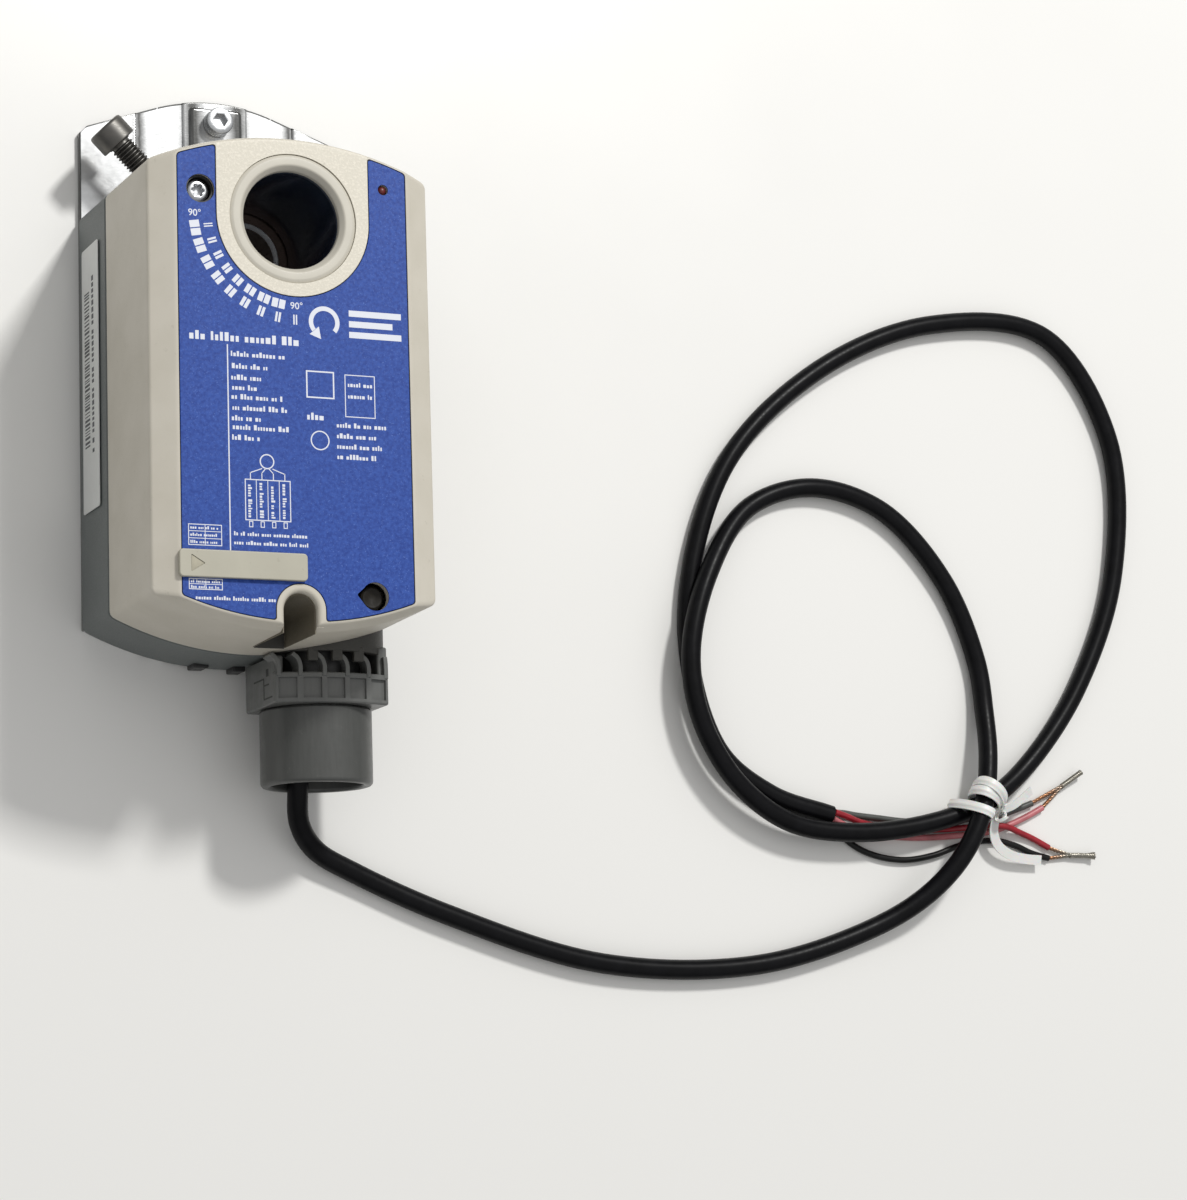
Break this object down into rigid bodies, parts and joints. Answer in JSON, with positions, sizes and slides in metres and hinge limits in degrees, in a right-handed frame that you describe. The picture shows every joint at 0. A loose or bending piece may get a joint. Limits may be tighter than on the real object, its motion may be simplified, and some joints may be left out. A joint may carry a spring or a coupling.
{
  "type": "motorized valve actuator",
  "caption": "Rotary valve actuator: moulded case with a shaft clamp and through hub, gear train and motor inside, conduit adapter and a looped supply cable with stripped leads.",
  "frame": {"origin": "centre of the length and width of the actuator without its cable, on the underside of the back plate", "axes": "+Z out of the front face, along the hub axis; +Y towards the hub end, away from the conduit; +X to the right seen from the front with the hub up"},
  "size_m": [0.3024, 0.2227, 0.0614],
  "materials": {
    "cover_plastic": "warm light grey moulded plastic, fine eroded grain, coarser on the lobe round the hub",
    "base_plastic": "dark grey moulded plastic, satin, fine grain",
    "plated_steel": "bright zinc-plated pressed steel, near mirror",
    "label_film": null,
    "paper_label": "white self-adhesive label with plain dark bars",
    "plain_steel": "zinc-plated steel, satin",
    "dark_steel": "dark phosphated steel, satin",
    "black_oxide": "black-oxide socket screw, worn at the edges, knurled head",
    "conduit_plastic": "warm dark grey moulded plastic, satin with fine scratches",
    "black_plastic": "black moulded plastic, satin",
    "nylon": "natural nylon, satin",
    "brass": "turned brass",
    "board": "green solder-masked laminate",
    "copper": "twisted bare copper strands, tinned at the tips",
    "tie_plastic": "white plastic-coated wire tie, slightly translucent",
    "jacket_black": "black PVC cable jacket, satin",
    "wire_black": "black PVC insulation, satin",
    "wire_red": "red PVC insulation, satin",
    "wire_pink": "pink PVC insulation, satin",
    "wire_grey": "grey PVC insulation, satin",
    "lamp_red": "dark red translucent lamp"
  },
  "bodies": {
    "housing": {"back_plate": "plated_steel", "plate_screw": "plain_steel", "base_housing": "base_plastic", "front_cover": "cover_plastic", "front_label": "label_film", "side_label": "paper_label", "case_screw_1": "plain_steel", "case_screw_2": "plain_steel", "case_screw_3": "plain_steel", "case_screw_4": "plain_steel", "cover_screw": "plain_steel", "hub_bush_front": "cover_plastic", "hub_bush_rear": "nylon", "gear_plate_lower": "plain_steel", "gear_plate_upper": "plain_steel", "gear_pillar_1": "plain_steel", "gear_pillar_2": "plain_steel", "gear_pillar_3": "plain_steel", "gear_pillar_4": "plain_steel", "idler_arbor_a": "plain_steel", "idler_arbor_b": "plain_steel", "motor": "plain_steel", "circuit_board": "board", "switch_block": "black_plastic", "motor_capacitor": "black_plastic", "wire_terminal": "black_plastic", "indicator_lamp": "lamp_red", "release_spring": "plain_steel", "release_bracket": "plain_steel", "conduit_socket": "conduit_plastic", "conduit_clip": "conduit_plastic", "strain_relief": "black_plastic", "cable_jacket": "jacket_black", "lead_black": "wire_black", "lead_red": "wire_red", "lead_pink": "wire_pink", "lead_grey": "wire_grey", "bare_tip_upper": "copper", "bare_tip_lower": "copper", "twist_tie": "tie_plastic"},
    "output": {"output_hub": "dark_steel", "hub_retaining_ring": "plain_steel", "drive_sector": "dark_steel", "clamp_body": "dark_steel"},
    "clamp": {"clamp_jaw": "plain_steel", "clamp_screw": "black_oxide"},
    "gear_a": {"idler_gear_a": "nylon"},
    "gear_b": {"idler_gear_b": "nylon"},
    "rotor": {"motor_pinion": "brass"},
    "release": {"release_button": "black_plastic"},
    "cover_slide": {"setting_cover": "cover_plastic"},
    "lever_1": {"setting_lever_1": "nylon"},
    "lever_2": {"setting_lever_2": "nylon"},
    "lever_3": {"setting_lever_3": "nylon"},
    "lever_4": {"setting_lever_4": "nylon"}
  },
  "joints": [
    {"name": "output_turn", "type": "hinge", "parent": "housing", "child": "output", "pos_m": [0, 0.042, 0], "axis": [0, 0, 1], "range_deg": [-90, 0]},
    {"name": "clamp_travel", "type": "slide", "parent": "output", "child": "clamp", "axis": [0.7071, -0.7071, 0], "range_m": [0, 0.007]},
    {"name": "gear_a_turn", "type": "hinge", "parent": "housing", "child": "gear_a", "pos_m": [0.00608, 0.00753, 0], "axis": [0, 0, 1], "range_deg": [0, 540]},
    {"name": "gear_b_turn", "type": "hinge", "parent": "housing", "child": "gear_b", "pos_m": [-0.00678, -0.00779, 0], "axis": [0, 0, 1], "range_deg": [-2160, 0]},
    {"name": "motor_turn", "type": "hinge", "parent": "housing", "child": "rotor", "pos_m": [0.00793, -0.02013, 0], "axis": [0, 0, 1], "range_deg": [0, 6480]},
    {"name": "release_press", "type": "slide", "parent": "housing", "child": "release", "axis": [0, 0, -1], "range_m": [0, 0.003], "stiffness_N_per_m": 200, "deforming": ["release_spring"]},
    {"name": "setting_cover_slide", "type": "slide", "parent": "housing", "child": "cover_slide", "axis": [1, 0, 0], "range_m": [0, 0.018]},
    {"name": "lever_1_slide", "type": "slide", "parent": "housing", "child": "lever_1", "axis": [0, 1, 0], "range_m": [0, 0.0012]},
    {"name": "lever_2_slide", "type": "slide", "parent": "housing", "child": "lever_2", "axis": [0, 1, 0], "range_m": [0, 0.0012]},
    {"name": "lever_3_slide", "type": "slide", "parent": "housing", "child": "lever_3", "axis": [0, 1, 0], "range_m": [0, 0.0012]},
    {"name": "lever_4_slide", "type": "slide", "parent": "housing", "child": "lever_4", "axis": [0, 1, 0], "range_m": [0, 0.0012]}
  ],
  "couplings": [
    {"joint": "gear_a_turn", "follows": "output_turn", "ratio": -6},
    {"joint": "gear_b_turn", "follows": "output_turn", "ratio": 24},
    {"joint": "motor_turn", "follows": "output_turn", "ratio": -72}
  ]
}
